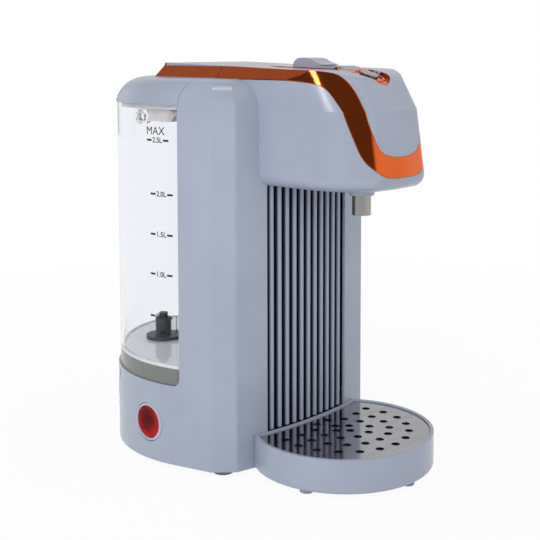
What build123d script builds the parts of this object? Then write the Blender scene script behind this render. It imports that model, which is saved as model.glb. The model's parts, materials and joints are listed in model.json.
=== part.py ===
import os
from math import acos, atan2, cos, degrees, hypot, pi, radians, sin, sqrt, tan

from build123d import *

# Hot water dispenser, millimetres, +Z up, front towards -Y, origin at the bottom centre of its box.

# Plan of the tower
tower_width = 194.0
rear_axis_y = 52.5
side_taper = 11.6
facet_width = 13.0
facet_depth = 13.4
front_corner_y = -18.0
front_bulge = 8.7
facet_round = 4.0

# Heights of the tower
foot_height = 3.0
shoulder_top = 291.6
shoulder_r = 24.0
platform_top = 63.2
notch_round = 6.0
wall = 2.6
fit_gap = 0.3
seam_gap = 0.2
overcut = 1.0

# Split between the tower and the tank with its lid
split_y = 22.0

# Recessed ribbed panel
panel_half = 45.0
panel_recess = 5.0
panel_thick = 2.4
panel_bottom = 25.0
rib_count = 11
rib_pitch = 7.8
rib_width = 4.4
rib_stalk = 1.5
rib_foot = 3.0

# Head: chin and bend as drops from the deck, nose plan as (side, setback) and brow as (setback, drop)
head_half = 52.0
head_height = 85.5
head_front = -116.2
head_chin = 80.0
head_lean = 0.155
head_top_lean = 0.6
head_bend = 29.0
nose_points = [(0.0, 0.0), (27.5, 2.2), (47.5, 24.0), (52.0, 46.0)]
nose_radii = [150.0, 12.0, 40.0, 50.0]
head_bottom_r = 9.5
head_skin = 3.0
head_rear_low = 92.6
head_rear_high = 88.0
deck_half = 45.0
deck_rise = 7.4
deck_fall = 3.6
deck_front_y = -45.0
bevel_start = 0.2
bevel_rise = 1.5
brow_drops = [(32.2, 3.0), (18.2, 9.5), (9.2, 24.0), (3.2, 49.0)]
head_door_half = 40.0
head_door_up = 14.0
head_door_down = 8.0

# Copper trim round the fascia, as (side, drop below the deck) seen from the front
trim_outer = [
    (52.6, 7.4), (48.5, 9.1), (45.0, 11.1), (42.3, 17.5), (40.0, 32.6), (36.5, 50.8), (31.5, 65.9), (22.8, 73.3),
]
trim_outer_low = 76.0
trim_inner = [
    (45.0, -1.4), (42.6, 0.9), (36.0, 3.0), (31.5, 10.0), (29.9, 29.0), (26.4, 46.9), (22.0, 56.0), (10.0, 61.0),
]
trim_inner_low = 61.6

# Control plate with its flat dish, dial and encoder
plate_half = 16.5
plate_front_y = -80.5
plate_rear_y = -8.0
plate_proud = 0.6
plate_depth = 1.8
dish_y = -66.0
dish_tilt = 18.2
dial_y = -82.0
dial_r = 7.0
dial_height = 2.2
dial_round = 0.8
dial_lift = 0.4
dial_notches = 16
dial_notch = 1.0
dial_shaft_r = 3.0
dial_shaft_length = 9.0
dial_ring_r = 12.0
dial_ring_width = 1.6
dial_ring_height = 1.0
encoder_side = 15.0
encoder_height = 7.0
encoder_bush_r = 4.6
encoder_drop = 3.0
run_gap = 0.06

# Press lever: hump as (y, rise above the deck), front end sloping to the plate
lever_half = 9.0
lever_gap = 0.6
lever_hump = [
    (-16.4, 1.5), (-17.6, 5.0), (-20.8, 7.3), (-26.6, 7.9), (-34.6, 6.9), (-40.5, 4.4), (-46.0, 2.6), (-52.0, 2.2),
]
lever_front_y = -67.5
lever_slope = 5.0
lever_nose = 0.4
lever_skirt = 2.5
pin_y = -62.0
pin_drop = 0.4
pin_r = 1.0
pin_end = 0.8
ear_thick = 3.0
ear_r = 1.9
finger_y = -33.0
finger_half = 2.5
finger_drop = 8.4
bracket_drop = 19.0
bracket_plate = 2.0
bracket_half = 13.0
bracket_front = -56.0
bracket_rear = -24.5
switch_half = 5.0
switch_reach = 7.0
switch_height = 4.5
switch_nub = 1.0
switch_nub_r = 1.5
lever_spring_y = -48.0
lever_spring_r = 3.0
lever_spring_wire = 1.0

# Spout, measured from the underside of the head
spout_y = -76.2
spout_r = 7.0
spout_bore = 5.4
spout_drop = 21.2
spout_rise = 8.5
collar_r = 9.1
collar_drop = 3.6
collar_round = 1.0

# Tank
tank_inset = 1.6
tank_gap = 0.8
tank_wall = 2.4
tank_floor_rise = 12.8
tank_front_round = 5.0
ring_wall = 4.5
valve_x = -42.0
valve_y = 97.0
valve_flange_r = 14.0
valve_flange_h = 2.6
valve_body_r = 6.5
valve_body_h = 16.6
valve_cap_r = 3.6
valve_cap_h = 4.0
valve_chamber_r = 4.9
valve_chamber_rise = 2.2
valve_roof = 2.0
valve_throat_r = 2.9
valve_window = 4.0
nipple_r = 7.0
nipple_drop = 4.5
plunger_r = 4.3
plunger_rise = 5.6
plunger_thick = 2.5
plunger_stem_r = 1.8
plunger_guide = 3.5
valve_spring_r = 3.6
socket_r = 12.0
socket_bore = 9.5
socket_depth = 9.0
socket_plate = 2.5
socket_flange_r = 15.5
socket_pin_r = 1.5
socket_pin_rise = 4.0
barb_r = 3.0
barb_drop = 24.0
seal_drop = 4.2
seal_height = 3.0

# Carry handle in the tank
handle_y = 63.6
handle_drop = 9.9
boss_r = 5.5
boss_length = 3.2
trunnion_r = 3.0
trunnion_length = 3.6
ear_width = 13.0
ear_down = 9.0
ear_up = 5.7
ear_plate = 1.2
handle_arm = 28.5
handle_thick = 3.0
handle_height = 9.0
handle_rise = 1.5
handle_grip_r = 4.4

# Lid
lid_height = 19.0
lid_wall = 2.4
lid_flange = 7.5
gasket_height = 3.6
gasket_width = 2.0

# Base, rear panel and feet
rear_panel_top_y = 99.0
rear_panel_low_y = 126.0
base_plate_thick = 3.0
base_boss_r = 4.5
base_boss_top = 24.0
base_boss_front_y = 8.0
base_boss_rear_y = 88.0
base_boss_inset = 6.5
screw_r = 1.6
screw_head_r = 3.2
screw_head_h = 1.8
screw_length = 14.0
foot_r = 8.0
foot_round = 1.0
foot_front_inset = 12.9
foot_front_y = -4.0
foot_rear_inset = 39.0
foot_rear_y = 106.0
gland_x = 0.0
gland_z = 20.0
gland_r = 7.0
gland_bore = 3.5
gland_depth = 9.0
gland_flange_r = 9.5
gland_flange = 2.0

# Power switch on the left side of the base
power_z = 31.2
bezel_r = 14.6
bezel_groove = 0.25
bezel_round = 1.2
bezel_depth = 6.0
lens_r = 12.2
lens_recess = 0.4
lens_thick = 4.5
lens_dome = 0.6
power_travel = 3.0
power_stem_r = 4.0
power_stem = 9.0
power_body_r = 11.5
power_body_length = 22.0

# Drip tray and grate
tray_r = 68.5
tray_y = -59.0
tray_top = 28.2
tray_wall = 2.6
tray_floor = 2.5
tray_gap = 0.6
tray_ledge = 3.6
tray_ledge_thick = 2.2
tray_edge_r = 2.5
tongue_half = 21.0
tongue_low = 8.0
tongue_high = 14.0
tongue_reach = 12.0
tongue_gap = 0.8
grate_thick = 1.2
grate_gap = 0.5
hole_r = 3.2
hole_rings = [(50.0, 20), (35.5, 16), (21.0, 10), (7.5, 4)]
hole_margin = 6.0
tray_foot_r = 5.0
tray_foot_inset = 7.5
tray_foot_angles = [-90.0, -165.0, -15.0]

# Water path and electrics inside the housing
heater_x = -8.0
heater_y = 0.2
heater_r = 17.0
heater_low = 110.0
heater_below_head = 24.0
heater_cap = 3.0
heater_cap_r = 18.4
heater_barb = 12.0
bracket_half_width = 26.0
bracket_up = (6.0, 28.0)
thermostat_r = 8.0
thermostat_h = 6.0
thermostat_seat = 2.0
thermostat_up = 50.0
fuse_r = 2.5
fuse_length = 18.0
fuse_above_bracket = 2.75
board_inset = 21.0
board_width = 40.0
board_z = (110.0, 190.0)
board_thick = 1.6
board_stand = 6.4
board_post_r = 3.0
board_post_inset = 6.0
relay_place = (10.0, 14.0)
relay_size = (18.0, 14.0, 15.0)
capacitor_place = (18.0, 44.0)
capacitor_r = 6.0
capacitor_h = 16.0
sink_place = (10.0, 56.0)
sink_size = (4.0, 12.0, 16.0)
pump_z = 28.0
pump_r = 17.0
pump_length = 50.0
pump_head_x = (-16.0, 0.0)
pump_head_half = 16.0
pump_barb = 10.0
pump_out_x = -8.0
pump_out_z = 36.0
mount_x = (10.0, 40.0)
mount_half = 14.0
hose_r = 5.0
hose_lap = 6.0
hose_bend = 14.0
outlet_run_up = 32.5

# Values worked out from the sizes above
half = tower_width / 2
tower_rear = rear_axis_y + half
side_front = half - side_taper
front_corner_x = side_front - facet_width
facet_rear_y = front_corner_y + facet_depth
side_turn = atan2(rear_axis_y - facet_rear_y, side_front)
side_turn -= acos(half / hypot(rear_axis_y - facet_rear_y, side_front))
side_end_x = half * cos(side_turn)
side_end_y = rear_axis_y - half * sin(side_turn)
origin_y = (tower_rear + tray_y - tray_r) / 2
power_y = rear_axis_y
front_y = front_corner_y - front_bulge
front_r = (front_corner_x**2 + front_bulge**2) / (2 * front_bulge)
front_axis_y = front_y + front_r
deck_front_z = shoulder_top + deck_rise
deck_rear_z = deck_front_z + deck_fall
bevel_low = shoulder_top + bevel_start
bevel_high = deck_front_z + bevel_rise
head_bottom = deck_front_z - head_height
head_chin_z = deck_front_z - head_chin
head_bend_z = deck_front_z - head_bend
brow_points = [(head_front + back, deck_front_z - drop) for back, drop in brow_drops]
lever_neck_z = deck_front_z + lever_hump[-1][1]
lever_skirt_z = deck_front_z - lever_skirt
lever_rear_y = lever_hump[0][0]
pin_z = deck_front_z - pin_drop
bracket_low = deck_front_z - bracket_drop
bracket_floor = bracket_low + bracket_plate
spout_low = head_bottom - spout_drop
spout_high = head_bottom + spout_rise
lid_low = shoulder_top - lid_height
tank_rim = lid_low - fit_gap
handle_z = lid_low - handle_drop
tank_front = split_y + tank_gap
tank_floor_low = platform_top + tank_floor_rise
ring_low = platform_top + fit_gap
floor_top = tank_floor_low + tank_wall
tank_inner_r = half - tank_inset - tank_wall
inner_x = sqrt(tank_inner_r**2 - (handle_y + ear_width / 2 - rear_axis_y) ** 2)
valve_body_top = floor_top + valve_body_h
valve_chamber_low = floor_top + valve_chamber_rise
valve_chamber_top = valve_body_top - valve_roof
plunger_low = floor_top + plunger_rise
plunger_top = plunger_low + plunger_thick
socket_floor = platform_top - socket_depth
socket_pin_top = platform_top + socket_pin_rise
barb_low = platform_top - barb_drop
base_floor = foot_height + base_plate_thick
foot_places = [(side_front - foot_front_inset, foot_front_y), (half - foot_rear_inset, foot_rear_y)]
grate_top = tray_top - grate_gap * 2
ledge_top = grate_top - grate_thick - fit_gap
tray_foot_ring = tray_r - tray_foot_inset
heater_high = head_bottom - heater_below_head
board_x = (half - board_inset - board_width, half - board_inset)
pump_y = valve_y
far = 400.0
sky = deck_rear_z + head_skin * 9


def block(x0, x1, y0, y1, z0, z1):
    """Box from its two corners."""
    size = Box(x1 - x0, y1 - y0, z1 - z0)
    return Pos((x0 + x1) / 2, (y0 + y1) / 2, (z0 + z1) / 2) * size


def post(x, y, z0, z1, r):
    """Upright round bar."""
    return Pos(x, y, (z0 + z1) / 2) * Cylinder(r, z1 - z0)


def bar_x(x0, x1, y, z, r):
    """Round bar along X."""
    return Pos((x0 + x1) / 2, y, z) * Rot(0, 90, 0) * Cylinder(r, x1 - x0)


def bar_y(x, y0, y1, z, r):
    """Round bar along Y."""
    return Pos(x, (y0 + y1) / 2, z) * Rot(90, 0, 0) * Cylinder(r, y1 - y0)


def behind(y):
    return block(-far, far, y, far, -far, far)


def above(z):
    return block(-far, far, -far, far, z, far)


def tower_plan():
    """Outline of tower and tank: curved front, corner facets, sides running out to the round rear."""
    with BuildLine() as line:
        ThreePointArc(
            (-front_corner_x, front_corner_y), (0, front_y), (front_corner_x, front_corner_y)
        )
        Line((front_corner_x, front_corner_y), (side_front, facet_rear_y))
        Line((side_front, facet_rear_y), (side_end_x, side_end_y))
        ThreePointArc((side_end_x, side_end_y), (0, tower_rear), (-side_end_x, side_end_y))
        Line((-side_end_x, side_end_y), (-side_front, facet_rear_y))
        Line((-side_front, facet_rear_y), (-front_corner_x, front_corner_y))
    return make_face(line.edges())


def side_x(y):
    """Half width of the outline at y."""
    if y > side_end_y:
        return sqrt(half**2 - (y - rear_axis_y) ** 2)
    share = (y - facet_rear_y) / (side_end_y - facet_rear_y)
    return side_front + share * (side_end_x - side_front)


def plan_inset(inset):
    plan = tower_plan()
    return offset(plan, -inset, kind=Kind.INTERSECTION) if inset else plan


def upright(inset, z0, z1):
    """Upright prism on the tower's outline with crisp facet edges."""
    return Pos(0, 0, z0) * extrude(plan_inset(inset), z1 - z0)


def prism(inset, z0, z1):
    """Upright prism on the tower's outline with softened facet edges."""
    body = upright(inset, z0, z1)
    corners = [e for e in body.edges().filter_by(Axis.Z) if e.center().Y < 0]
    return fillet(corners, max(facet_round - inset, facet_round / 4))


def tower_body(inset):
    """Whole tower volume, rolled over at the shoulder."""
    top_z = shoulder_top - inset
    body = upright(inset, foot_height, top_z)
    top = body.faces().sort_by(Axis.Z)[-1]
    return fillet(top.edges(), shoulder_r - inset) & prism(inset, foot_height, top_z)


def notch_space(y, z):
    """Space behind y and above z with a rounded lower front edge."""
    space = block(-far, far, y, far, z, far)
    edge = space.edges().filter_by(Axis.X).sort_by(lambda e: e.center().Y + e.center().Z)[0]
    return fillet(edge, notch_round)


def on_front(angle, recess):
    """Point on the curved front at an angle from the centre line, set back by recess."""
    r = front_r - recess
    return (r * sin(angle), front_axis_y - r * cos(angle))


def front_slab(recess0, recess1, half_width, z0, z1):
    """Curved slab that follows the front between two depths."""
    ring = post(0, front_axis_y, z0, z1, front_r - recess0) - post(
        0, front_axis_y, z0, z1, front_r - recess1
    )
    return ring & block(-half_width, half_width, -far, 0, z0, z1)


def brow_edge():
    """Deck running forward and rolling down into the front of the head, in (y, z)."""
    slope = (deck_rear_z - deck_front_z) / (head_rear_high - deck_front_y)
    return Spline(
        (deck_front_y, deck_front_z), *brow_points, tangents=[(-1, -slope), (-0.1, -1)]
    )


def deck_height(y):
    """Height of the deck at y on the brow."""
    edge = brow_edge()
    low, high = 0.0, 1.0
    for _ in range(40):
        middle = (low + high) / 2
        if (edge @ middle).X > y:
            low = middle
        else:
            high = middle
    return (edge @ low).Y


def head_plan(inset):
    """Plan of the head, front at zero: round nose of tangent arcs, straight sides, open behind."""
    side = head_half - inset
    right = [(x * side / head_half, back) for x, back in nose_points]
    left = [(-x, back) for x, back in reversed(right[1:])]
    radii = [*reversed(nose_radii[1:]), *nose_radii]
    path = FilletPolyline((-side, far), *left, *right, (side, far), radius=radii)
    return make_face([*path.edges(), Line((side, far), (-side, far)).edge()])


def head_prism(inset, lean, front, low):
    """Head plan drawn up from low along a backward lean."""
    return extrude(Pos(0, front, low) * head_plan(inset), amount=sky - low, dir=(0, lean, 1))


def head_solid(inset):
    """Head and the deck behind it, shrunk by inset."""
    width = head_half - inset
    low = head_bottom + inset
    front = head_front + inset
    chin_front = front + head_lean * (low - head_chin_z)
    bend_front = front + head_lean * (head_bend_z - head_chin_z)
    body = head_prism(inset, head_lean, chin_front, low)
    rim = body.faces().sort_by(Axis.Z)[0].edges().filter_by(lambda e: e.center().Y < tower_rear)
    body = fillet(rim, max(head_bottom_r - inset, wall))
    body = body & head_prism(inset, head_top_lean, bend_front - head_top_lean * (head_bend_z - low), low)
    with BuildLine() as line:
        brow = brow_edge()
        Line(brow @ 1, (brow_points[-1][0], 0))
        Line((brow_points[-1][0], 0), (head_rear_low, 0))
        Line((head_rear_low, 0), (head_rear_low, shoulder_top))
        Line((head_rear_low, shoulder_top), (head_rear_high, deck_rear_z))
        Line((head_rear_high, deck_rear_z), brow @ 0)
    cutter = extrude(Plane.YZ * make_face(line.edges()), far / 2, both=True)
    ahead = block(-far, far, -far, brow_points[-1][0] + inset, 0, brow_points[-1][1])
    top = Pos(0, 0, -inset) * cutter + ahead
    if inset > 0:
        top = top & Pos(0, inset, -inset) * cutter + ahead
        top = top - behind(head_rear_high - inset)
    reach = deck_half - inset
    front_view = make_face(
        Polyline(
            (-width, 0), (width, 0), (width, bevel_low), (reach, bevel_high), (reach, sky),
            (-reach, sky), (-reach, bevel_high), (-width, bevel_low), close=True,
        )
    )
    return body & top & extrude(Plane.XZ * front_view, far, both=True)


def u_prism(points, low, grow):
    """Prism along Y on the U-shaped line that edges the trim in front view."""
    right = [(x + grow, deck_front_z - drop - grow) for x, drop in points]
    curve = [*right, (0, deck_front_z - low - grow), *[(-x, z) for x, z in reversed(right)]]
    first, last = curve[0], curve[-1]
    with BuildLine() as line:
        Spline(*curve)
        Polyline(last, (last[0], sky), (first[0], sky), first)
    return extrude(Plane.XZ * make_face(line.edges()), far, both=True)


def oval(half_width, z0, z1):
    """Long oval of the control plate, seen from above."""
    shape = block(-half_width, half_width, plate_front_y, plate_rear_y, z0, z1)
    for y in (plate_front_y, plate_rear_y):
        shape += post(0, y, z0, z1, half_width)
    return shape


def dish_cut():
    """Everything above the flat slanting dish at the front of the control plate."""
    start = deck_height(dish_y)
    front = head_front - overcut
    low = start - tan(radians(dish_tilt)) * (dish_y - front)
    side = make_face(Polyline((dish_y, start), (dish_y, sky), (front, sky), (front, low), close=True))
    return extrude(Plane.YZ * side, far, both=True)


def tube(points, r_out, r_in, bend):
    """Hose along straight runs joined by tangent bends."""
    path = FilletPolyline(*points, radius=bend)
    start = Plane(path @ 0, z_dir=path % 0)
    return sweep(start * (Circle(r_out) - Circle(r_in)), path=path)


# Shared volumes
tower_outer_full = tower_body(0)
tower_outer = tower_outer_full - notch_space(split_y, platform_top)
head = head_solid(0)
head_inner = head_solid(head_skin)
dished_head = head - dish_cut()
outer_u = u_prism(trim_outer, trim_outer_low, 0)
inner_u = u_prism(trim_inner, trim_inner_low, 0)
before_split = block(-far, far, -far, split_y - seam_gap, -far, far)
rear_slope = (rear_panel_low_y - rear_panel_top_y) / (platform_top - foot_height)


def behind_panel_seam(shift):
    """Everything behind the slanting seam of the rear lower panel."""
    top_y = rear_panel_top_y + shift
    low_y = rear_panel_low_y + shift + rear_slope * foot_height
    side = make_face(Polyline((low_y, 0), (far, 0), (far, platform_top), (top_y, platform_top), close=True))
    return extrude(Plane.YZ * side, far, both=True)


def tower_cavity():
    inside = tower_body(wall) + (prism(wall, 0, foot_height + wall))
    return inside - (behind(split_y - wall) & above(platform_top - wall))


def base_boss_places():
    places = [(side_x(y) - base_boss_inset, y) for y in (base_boss_front_y, base_boss_rear_y)]
    return [(s * x, y) for s in (-1, 1) for x, y in places]


def board_posts():
    xs = (board_x[0] + board_post_inset, board_x[1] - board_post_inset)
    zs = (board_z[0] + board_post_inset, board_z[1] - board_post_inset)
    return [(x, z) for x in xs for z in zs]


def power_bore(r, depth):
    return bar_x(-half - overcut, -half + depth, power_y, power_z, r)


def tower_shell():
    shell = tower_outer - tower_cavity()
    front = front_y - overcut
    shell -= block(-panel_half, panel_half, front, 0, panel_bottom, head_bottom + wall)
    door_z = (head_bottom + head_door_up, shoulder_top - head_door_down)
    shell -= block(-head_door_half, head_door_half, front, 0, *door_z) - post(
        0, front_axis_y, 0, far, front_r - panel_recess
    )
    slot = tongue_half + tongue_gap
    shell -= block(-slot, slot, front, 0, tongue_low - tongue_gap, tongue_high + tongue_gap)
    shell -= behind_panel_seam(0) & block(-far, far, -far, far, 0, platform_top - wall)
    shell -= post(valve_x, valve_y, platform_top - wall - overcut, platform_top + overcut, socket_r)
    shell -= power_bore(bezel_r + bezel_groove, wall + overcut)
    for x, y in base_boss_places():
        boss = post(x, y, base_floor, base_boss_top, base_boss_r)
        shell += boss & tower_outer
        shell -= post(x, y, base_floor - overcut, base_floor + screw_length, screw_r)
    for x, z in board_posts():
        shell += bar_y(x, split_y - wall - board_stand, split_y - wall, z, board_post_r)
    return shell


def ribbed_panel():
    """Curved back plate with half-round upright ribs."""
    width = panel_half - seam_gap
    z0, z1 = panel_bottom + seam_gap, head_bottom - seam_gap
    panel = front_slab(panel_recess, panel_recess + panel_thick, width, z0, z1)
    rib_r = rib_width / 2
    for index in range(rib_count):
        angle = (index - (rib_count - 1) / 2) * rib_pitch / front_r
        foot = z0 + rib_foot
        x, y = on_front(angle, panel_recess)
        stalk = block(-rib_r, rib_r, -rib_stalk, panel_thick / 2, foot, z1)
        rib = stalk + post(0, -rib_stalk, foot, z1, rib_r)
        panel += Pos(x, y, 0) * Rot(0, 0, degrees(angle)) * rib
    return panel


def head_shell():
    shell = head - head_inner - u_prism(trim_outer, trim_outer_low, seam_gap)
    shell -= tower_outer_full
    shell = shell & block(-far, far, -far, 0, 0, shoulder_top)
    return shell - post(0, spout_y, 0, head_bottom + head_skin * 2, spout_r + seam_gap)


def lever_opening():
    """Slot in plate and fascia that the lever works in."""
    x = lever_half + lever_gap
    return block(-x, x, lever_front_y - lever_gap, lever_rear_y + lever_gap, 0, sky)


def dial_frame():
    """Centre of the dial on the dish of the control plate."""
    height = deck_height(dish_y) - tan(radians(dish_tilt)) * (dish_y - dial_y)
    return Location((0, dial_y, height + plate_proud), (dish_tilt, 0, 0))


def plate_layer(top, bottom):
    """Layer of the dished deck between two depths below its surface."""
    return Pos(0, 0, -top) * dished_head - Pos(0, 0, -bottom) * dished_head


def encoder_hole():
    return dial_frame() * Cylinder(encoder_bush_r + seam_gap, head_skin * 4)


def front_fascia():
    skin = (head - head_inner) & u_prism(trim_inner, trim_inner_low, -seam_gap)
    skin = (skin - tower_outer_full) & before_split
    seat = Pos(0, 0, -plate_depth - seam_gap) * dished_head
    skin -= oval(plate_half + seam_gap, 0, sky) - seat
    return skin - lever_opening() - encoder_hole()


def front_trim():
    ring = (head - head_inner) & (outer_u - inner_u)
    return (ring - tower_outer_full) & before_split


def control_plate():
    """Copper plate with a ring round the dial and an ear for each end of the lever's pin."""
    plate = plate_layer(-plate_proud, plate_depth) & oval(plate_half, 0, sky)
    ring_h = dial_ring_height * 4
    ring = Cylinder(dial_ring_r, ring_h) - Cylinder(dial_ring_r - dial_ring_width, ring_h)
    plate += (dial_frame() * ring) & plate_layer(-plate_proud - dial_ring_height, 0)
    plate -= lever_opening()
    inner, outer = lever_half + lever_gap, lever_half + lever_gap + ear_thick
    for x0, x1 in ((-outer, -inner), (inner, outer)):
        plate += bar_x(x0, x1, pin_y, pin_z, ear_r)
    return plate - bar_x(-far, far, pin_y, pin_z, pin_r) - encoder_hole()


def dispense_lever():
    """Press lever: flat bar on its pin, humped grip at the rear, finger below for the switch."""
    hump = [(y, deck_front_z + rise) for y, rise in lever_hump]
    nose = (lever_front_y, deck_front_z - lever_nose)
    with BuildLine() as line:
        Spline(*hump, tangents=[(0, 1), (-1, 0)])
        Polyline(
            hump[-1],
            (lever_front_y + lever_slope, lever_neck_z),
            nose,
            (lever_front_y, lever_skirt_z),
            (lever_rear_y, lever_skirt_z),
            hump[0],
        )
    lever = extrude(Plane.YZ * make_face(line.edges()), lever_half, both=True)
    lever += block(
        -finger_half, finger_half, finger_y - finger_half, finger_y + finger_half,
        deck_front_z - finger_drop, lever_neck_z,
    )
    return lever - bar_x(-far, far, pin_y, pin_z, pin_r + run_gap)


def lever_pin():
    reach = lever_half + lever_gap + ear_thick + pin_end
    return bar_x(-reach, reach, pin_y, pin_z, pin_r)


def lever_bracket():
    """Channel under the deck that carries the lever's switch and spring."""
    frame = block(-bracket_half, bracket_half, bracket_front, bracket_rear, bracket_low, sky)
    hollow = bracket_half - bracket_plate
    frame -= block(-hollow, hollow, -far, far, bracket_floor, sky + overcut)
    return frame & Pos(0, 0, -seam_gap) * head_inner


def lever_microswitch():
    high = bracket_floor + switch_height
    case = block(
        -switch_half, switch_half, finger_y - switch_reach, finger_y + switch_reach, bracket_floor, high
    )
    return case + post(0, finger_y, bracket_floor, high + switch_nub, switch_nub_r)


def lever_spring():
    high = lever_skirt_z - seam_gap / 2
    outer = post(0, lever_spring_y, bracket_floor, high, lever_spring_r)
    return outer - post(0, lever_spring_y, bracket_floor, high, lever_spring_r - lever_spring_wire)


def volume_dial():
    """Knob with radial notches on its shaft."""
    knob = Pos(0, 0, dial_lift + dial_height / 2) * Cylinder(dial_r, dial_height)
    knob = fillet(knob.edges().group_by(Axis.Z)[-1], dial_round)
    for index in range(dial_notches):
        notch_bar = Pos(dial_r, 0, dial_lift + dial_height) * Cylinder(dial_notch / 2, dial_height)
        knob -= Rot(0, 0, index * 360 / dial_notches) * notch_bar
    knob += Pos(0, 0, dial_lift - dial_shaft_length / 2) * Cylinder(dial_shaft_r, dial_shaft_length)
    return dial_frame() * knob


def dial_encoder():
    drop = encoder_drop
    bush_top = -dial_lift
    body = Pos(0, 0, -drop - encoder_height / 2) * Box(encoder_side, encoder_side, encoder_height)
    bush = Pos(0, 0, (bush_top - drop) / 2) * Cylinder(encoder_bush_r, drop + bush_top)
    bore = Cylinder(dial_shaft_r + run_gap, 4 * dial_shaft_length)
    return dial_frame() * (body + bush - bore)


def spout_tube():
    return post(0, spout_y, spout_low, spout_high, spout_r) - post(
        0, spout_y, spout_low, spout_high, spout_bore
    )


def spout_collar():
    collar = post(0, spout_y, head_bottom - collar_drop, head_bottom, collar_r)
    collar = fillet(collar.edges().group_by(Axis.Z)[0], collar_round)
    return collar - post(0, spout_y, 0, far, spout_r)


def tank_outline(inset, z0, z1):
    """Tank volume: tower outline behind the split, with softened front edges."""
    body = Pos(0, 0, z0) * extrude(plan_inset(tank_inset + inset), z1 - z0)
    body = body & behind(tank_front + inset)
    front = [e for e in body.edges().filter_by(Axis.Z) if e.center().Y < tank_front + inset + seam_gap]
    return fillet(front, max(tank_front_round - inset, tank_front_round / 5))


def water_tank():
    tank = tank_outline(0, tank_floor_low, tank_rim) - tank_outline(tank_wall, floor_top, tank_rim + overcut)
    mid_wall = tank_outline(tank_wall / 2, tank_floor_low, tank_rim)
    for side in (-1, 1):
        wall_x, plate_x, boss_x = side * half, side * (inner_x - ear_plate), side * (inner_x - boss_length)
        pin_x = boss_x - side * trunnion_length
        ear = block(
            min(wall_x, plate_x), max(wall_x, plate_x),
            handle_y - ear_width / 2, handle_y + ear_width / 2, handle_z - ear_down, handle_z + ear_up,
        )
        ear += bar_x(min(wall_x, boss_x), max(wall_x, boss_x), handle_y, handle_z, boss_r)
        tank += ear & mid_wall
        tank += bar_x(min(boss_x, pin_x), max(boss_x, pin_x), handle_y, handle_z, trunnion_r)
    return tank - post(valve_x, valve_y, 0, floor_top + overcut, nipple_r)


def tank_base_ring():
    """Smoky frame under the tank's floor, rounded to the notch of the tower."""
    ring = tank_outline(0, ring_low, tank_floor_low) & notch_space(tank_front, ring_low)
    return ring - tank_outline(ring_wall, ring_low - overcut, tank_floor_low + overcut)


def valve_housing():
    flange_top = floor_top + valve_flange_h
    housing = post(0, 0, floor_top, flange_top, valve_flange_r)
    housing += post(0, 0, flange_top, valve_body_top, valve_body_r)
    housing += post(0, 0, valve_body_top, valve_body_top + valve_cap_h, valve_cap_r)
    housing += post(0, 0, platform_top - nipple_drop, floor_top, nipple_r)
    housing -= post(0, 0, valve_chamber_low, valve_chamber_top, valve_chamber_r)
    housing -= post(0, 0, 0, valve_chamber_low, valve_throat_r)
    for turn in range(4):
        window = block(
            valve_chamber_r - overcut, valve_body_r + overcut, -valve_window / 2, valve_window / 2,
            flange_top + overcut, flange_top + overcut + valve_window,
        )
        housing -= Rot(0, 0, 45 + 90 * turn) * window
    return Pos(valve_x, valve_y, 0) * housing


def valve_plunger():
    plunger = post(valve_x, valve_y, plunger_low, plunger_top, plunger_r)
    plunger += post(valve_x, valve_y, socket_pin_top + fit_gap, plunger_low, plunger_stem_r)
    return plunger + post(valve_x, valve_y, plunger_top, plunger_top + plunger_guide, plunger_stem_r)


def valve_spring():
    ring = post(valve_x, valve_y, plunger_top, valve_chamber_top, valve_spring_r)
    return ring - post(valve_x, valve_y, plunger_top, valve_chamber_top, plunger_stem_r + fit_gap)


def tank_spigot():
    """Socket under the tank with the pin that lifts the valve."""
    flange_top = platform_top - wall
    spigot = post(0, 0, socket_floor - socket_plate, platform_top, socket_r)
    spigot += post(0, 0, flange_top - socket_plate, flange_top, socket_flange_r)
    spigot -= post(0, 0, socket_floor, far, socket_bore)
    spigot += post(0, 0, socket_floor - overcut, socket_pin_top, socket_pin_r)
    spigot += post(0, 0, barb_low, socket_floor - socket_plate, barb_r)
    return Pos(valve_x, valve_y, 0) * spigot


def spigot_seal():
    low = platform_top - seal_drop
    seal = post(valve_x, valve_y, low, low + seal_height, socket_bore)
    return seal - post(valve_x, valve_y, low, low + seal_height, nipple_r + fit_gap)


def carry_handle():
    """Bail that folds forward inside the tank, its arms a little above the pivots."""
    arm_mid = inner_x - boss_length - fit_gap - handle_thick / 2
    r = handle_height / 2
    bail = bar_x(-arm_mid, arm_mid, -handle_arm, handle_rise, handle_grip_r)
    for side in (-1, 1):
        x0, x1 = side * arm_mid - handle_thick / 2, side * arm_mid + handle_thick / 2
        arm = block(x0, x1, -handle_arm, 0, handle_rise - r, handle_rise + r)
        arm += bar_x(x0, x1, -handle_arm, handle_rise, r)
        arm += bar_x(x0, x1, 0, handle_rise, r) + bar_x(x0, x1, 0, 0, boss_r)
        bail += arm - bar_x(x0 - overcut, x1 + overcut, 0, 0, trunnion_r + run_gap)
    return Pos(0, handle_y, handle_z) * bail


def lid_volume(inset):
    """Rolled cap over the tank with the raised deck, before hollowing."""
    cap = tower_body(inset) & above(lid_low)
    deck = (head if inset == 0 else head_solid(inset)) & above(shoulder_top - shoulder_r / 2)
    return (cap + deck) & behind(split_y + tank_gap / 2 + inset)


def lid_deck_trim_zone():
    """Front-view band of the trim, carried round the rear end of the deck."""
    grey = inner_u & block(-far, far, -far, head_rear_high - head_skin / 2, 0, far)
    return (outer_u - grey) & above(bevel_low)


def tank_lid():
    outer = lid_volume(0)
    cavity = lid_volume(lid_wall) & above(lid_low + lid_wall)
    mouth = tank_outline(lid_flange, lid_low - overcut, lid_low + lid_wall + overcut)
    lid = outer - cavity - mouth
    return lid - ((head - head_inner) & lid_deck_trim_zone())


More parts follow.
